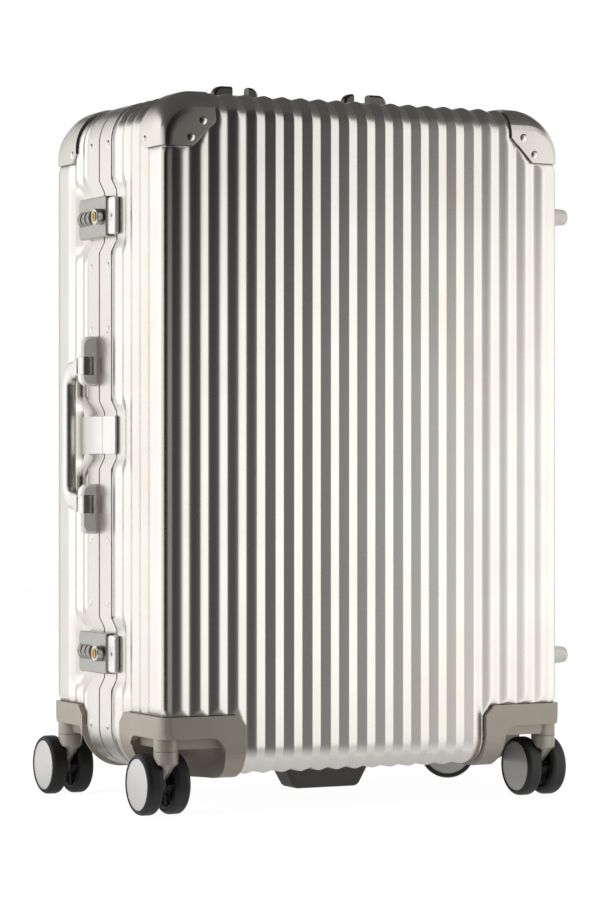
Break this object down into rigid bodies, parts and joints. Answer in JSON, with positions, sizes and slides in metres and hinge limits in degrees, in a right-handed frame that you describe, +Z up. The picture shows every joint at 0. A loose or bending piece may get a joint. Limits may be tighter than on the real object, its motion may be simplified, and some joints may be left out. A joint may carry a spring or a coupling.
{
  "type": "hard shell suitcase",
  "caption": "Ribbed aluminium hard shell suitcase on swivel casters that opens like a book, with combination locks, carry handles and a telescopic trolley.",
  "frame": {"origin": "on the floor under the middle of the whole object's box", "axes": "+X to the right across the broad ribbed face, +Y from the front half to the rear half, +Z up"},
  "size_m": [0.543, 0.326, 0.7837],
  "materials": {
    "shell_aluminium": "satin pressed sheet",
    "frame_aluminium": "satin extrusion",
    "guard_aluminium": "smooth satin",
    "rivet_aluminium": "domed, polished",
    "seal_rubber": "tan rubber",
    "housing_plastic": "moulded, warm grey",
    "polished_handle": "polished",
    "bracket_metal": "satin cast",
    "pin_steel": "plain",
    "plate_steel": "bright brushed",
    "lock_metal": "satin grey",
    "hinge_steel": "brushed",
    "trolley_plastic": "moulded black",
    "trolley_aluminium": "anodised",
    "trolley_button_plastic": "moulded dark grey",
    "lining_fabric": "woven polyester",
    "strap_webbing": "woven webbing",
    "buckle_plastic": "moulded black",
    "pocket_fabric": "woven polyester",
    "foot_plastic": "moulded, light warm grey",
    "pull_plastic": "moulded dark grey",
    "dial_plastic": "satin grey",
    "key_brass": "turned",
    "release_plastic": "turned, satin",
    "fork_plastic": "moulded, warm grey",
    "wheel_rubber": "moulded rubber on a plastic hub"
  },
  "bodies": {
    "rear_half": {"rear_shell": "shell_aluminium", "rear_frame": "frame_aluminium", "frame_seal": "seal_rubber", "rear_corner_guards": "guard_aluminium", "rear_caster_housings": "housing_plastic", "rear_rivets": "rivet_aluminium", "side_handle_brackets": "bracket_metal", "side_handle_pins": "pin_steel", "centre_plate": "plate_steel", "trolley_bezel": "trolley_plastic", "trolley_outer_tubes": "trolley_aluminium", "rear_hinge_leaves": "hinge_steel", "hinge_pins": "pin_steel", "rear_lining": "lining_fabric", "packing_straps": "strap_webbing", "strap_buckles": "buckle_plastic", "rear_side_feet": "foot_plastic", "lock_cases": "lock_metal"},
    "front_half": {"front_shell": "shell_aluminium", "front_frame": "frame_aluminium", "front_corner_guards": "guard_aluminium", "front_caster_housings": "housing_plastic", "front_rivets": "rivet_aluminium", "front_hinge_leaves": "hinge_steel", "front_lining": "lining_fabric", "front_pocket": "pocket_fabric", "front_side_feet": "foot_plastic", "bottom_grip": "pull_plastic", "lock_hasps": "plate_steel", "centre_striker": "plate_steel", "top_handle_brackets": "bracket_metal", "top_handle_pins": "pin_steel"},
    "side_handle": {"side_handle": "polished_handle"},
    "top_handle": {"top_handle": "polished_handle"},
    "trolley_middle": {"trolley_middle_tubes": "trolley_aluminium"},
    "trolley_upper": {"trolley_inner_tubes": "trolley_aluminium", "trolley_grip": "trolley_plastic"},
    "trolley_button": {"trolley_button": "trolley_button_plastic"},
    "upper_dial_1": {"upper_dial_1": "dial_plastic"},
    "upper_dial_2": {"upper_dial_2": "dial_plastic"},
    "upper_dial_3": {"upper_dial_3": "dial_plastic"},
    "upper_key_cylinder": {"upper_key_cylinder": "key_brass"},
    "upper_release_button": {"upper_release_button": "release_plastic"},
    "lower_dial_1": {"lower_dial_1": "dial_plastic"},
    "lower_dial_2": {"lower_dial_2": "dial_plastic"},
    "lower_dial_3": {"lower_dial_3": "dial_plastic"},
    "lower_key_cylinder": {"lower_key_cylinder": "key_brass"},
    "lower_release_button": {"lower_release_button": "release_plastic"},
    "front_left_fork": {"front_left_fork": "fork_plastic"},
    "front_left_left_wheel": {"front_left_left_wheel": "wheel_rubber"},
    "front_left_right_wheel": {"front_left_right_wheel": "wheel_rubber"},
    "front_right_fork": {"front_right_fork": "fork_plastic"},
    "front_right_left_wheel": {"front_right_left_wheel": "wheel_rubber"},
    "front_right_right_wheel": {"front_right_right_wheel": "wheel_rubber"},
    "rear_left_fork": {"rear_left_fork": "fork_plastic"},
    "rear_left_left_wheel": {"rear_left_left_wheel": "wheel_rubber"},
    "rear_left_right_wheel": {"rear_left_right_wheel": "wheel_rubber"},
    "rear_right_fork": {"rear_right_fork": "fork_plastic"},
    "rear_right_left_wheel": {"rear_right_left_wheel": "wheel_rubber"},
    "rear_right_right_wheel": {"rear_right_right_wheel": "wheel_rubber"}
  },
  "joints": [
    {"name": "lid_hinge", "type": "hinge", "parent": "rear_half", "child": "front_half", "pos_m": [0.23147, 0.0075, 0.3992], "axis": [0, 0, 1], "range_deg": [0, 105]},
    {"name": "side_handle_swing", "type": "hinge", "parent": "rear_half", "child": "side_handle", "pos_m": [-0.26353, 0.0215, 0.3992], "axis": [0, 0, 1], "range_deg": [0, 90]},
    {"name": "top_handle_swing", "type": "hinge", "parent": "front_half", "child": "top_handle", "pos_m": [-0.01453, -0.0005, 0.7682], "axis": [1, 0, 0], "range_deg": [0, 90]},
    {"name": "trolley_lower_slide", "type": "slide", "parent": "rear_half", "child": "trolley_middle", "axis": [0, 0, 1], "range_m": [0, 0.2]},
    {"name": "trolley_upper_slide", "type": "slide", "parent": "trolley_middle", "child": "trolley_upper", "axis": [0, 0, 1], "range_m": [0, 0.2]},
    {"name": "trolley_button_press", "type": "slide", "parent": "trolley_upper", "child": "trolley_button", "axis": [0, 0, -1], "range_m": [0, 0.002], "stiffness_N_per_m": 300, "springref_m": -0.002},
    {"name": "upper_dial_1_turn", "type": "hinge", "parent": "rear_half", "child": "upper_dial_1", "pos_m": [-0.25003, 0.0301, 0.6352], "axis": [0, 1, 0], "continuous": true},
    {"name": "upper_dial_2_turn", "type": "hinge", "parent": "rear_half", "child": "upper_dial_2", "pos_m": [-0.25003, 0.0417, 0.6352], "axis": [0, 1, 0], "continuous": true},
    {"name": "upper_dial_3_turn", "type": "hinge", "parent": "rear_half", "child": "upper_dial_3", "pos_m": [-0.25003, 0.0533, 0.6352], "axis": [0, 1, 0], "continuous": true},
    {"name": "upper_key_cylinder_turn", "type": "hinge", "parent": "upper_release_button", "child": "upper_key_cylinder", "pos_m": [-0.26383, 0.0015, 0.6352], "axis": [-1, 0, 0], "range_deg": [0, 90]},
    {"name": "upper_release_button_slide", "type": "slide", "parent": "rear_half", "child": "upper_release_button", "axis": [0, 1, 0], "range_m": [0, 0.005], "stiffness_N_per_m": 200, "springref_m": -0.003},
    {"name": "lower_dial_1_turn", "type": "hinge", "parent": "rear_half", "child": "lower_dial_1", "pos_m": [-0.25003, 0.0301, 0.1632], "axis": [0, 1, 0], "continuous": true},
    {"name": "lower_dial_2_turn", "type": "hinge", "parent": "rear_half", "child": "lower_dial_2", "pos_m": [-0.25003, 0.0417, 0.1632], "axis": [0, 1, 0], "continuous": true},
    {"name": "lower_dial_3_turn", "type": "hinge", "parent": "rear_half", "child": "lower_dial_3", "pos_m": [-0.25003, 0.0533, 0.1632], "axis": [0, 1, 0], "continuous": true},
    {"name": "lower_key_cylinder_turn", "type": "hinge", "parent": "lower_release_button", "child": "lower_key_cylinder", "pos_m": [-0.26383, 0.0015, 0.1632], "axis": [-1, 0, 0], "range_deg": [0, 90]},
    {"name": "lower_release_button_slide", "type": "slide", "parent": "rear_half", "child": "lower_release_button", "axis": [0, 1, 0], "range_m": [0, 0.005], "stiffness_N_per_m": 200, "springref_m": -0.003},
    {"name": "front_left_swivel", "type": "hinge", "parent": "front_half", "child": "front_left_fork", "pos_m": [-0.24453, -0.1435, 0.0682], "axis": [0, 0, 1], "continuous": true},
    {"name": "front_left_left_wheel_roll", "type": "hinge", "parent": "front_left_fork", "child": "front_left_left_wheel", "pos_m": [-0.24453, -0.1235, 0.0325], "axis": [1, 0, 0], "continuous": true},
    {"name": "front_left_right_wheel_roll", "type": "hinge", "parent": "front_left_fork", "child": "front_left_right_wheel", "pos_m": [-0.24453, -0.1235, 0.0325], "axis": [1, 0, 0], "continuous": true},
    {"name": "front_right_swivel", "type": "hinge", "parent": "front_half", "child": "front_right_fork", "pos_m": [0.21547, -0.1435, 0.0682], "axis": [0, 0, 1], "continuous": true},
    {"name": "front_right_left_wheel_roll", "type": "hinge", "parent": "front_right_fork", "child": "front_right_left_wheel", "pos_m": [0.21547, -0.1235, 0.0325], "axis": [1, 0, 0], "continuous": true},
    {"name": "front_right_right_wheel_roll", "type": "hinge", "parent": "front_right_fork", "child": "front_right_right_wheel", "pos_m": [0.21547, -0.1235, 0.0325], "axis": [1, 0, 0], "continuous": true},
    {"name": "rear_left_swivel", "type": "hinge", "parent": "rear_half", "child": "rear_left_fork", "pos_m": [-0.24453, 0.1105, 0.0682], "axis": [0, 0, 1], "continuous": true},
    {"name": "rear_left_left_wheel_roll", "type": "hinge", "parent": "rear_left_fork", "child": "rear_left_left_wheel", "pos_m": [-0.24453, 0.1305, 0.0325], "axis": [1, 0, 0], "continuous": true},
    {"name": "rear_left_right_wheel_roll", "type": "hinge", "parent": "rear_left_fork", "child": "rear_left_right_wheel", "pos_m": [-0.24453, 0.1305, 0.0325], "axis": [1, 0, 0], "continuous": true},
    {"name": "rear_right_swivel", "type": "hinge", "parent": "rear_half", "child": "rear_right_fork", "pos_m": [0.21547, 0.1105, 0.0682], "axis": [0, 0, 1], "continuous": true},
    {"name": "rear_right_left_wheel_roll", "type": "hinge", "parent": "rear_right_fork", "child": "rear_right_left_wheel", "pos_m": [0.23329, 0.10142, 0.0325], "axis": [-0.454, -0.891, 0], "continuous": true},
    {"name": "rear_right_right_wheel_roll", "type": "hinge", "parent": "rear_right_fork", "child": "rear_right_right_wheel", "pos_m": [0.23329, 0.10142, 0.0325], "axis": [-0.454, -0.891, 0], "continuous": true}
  ]
}
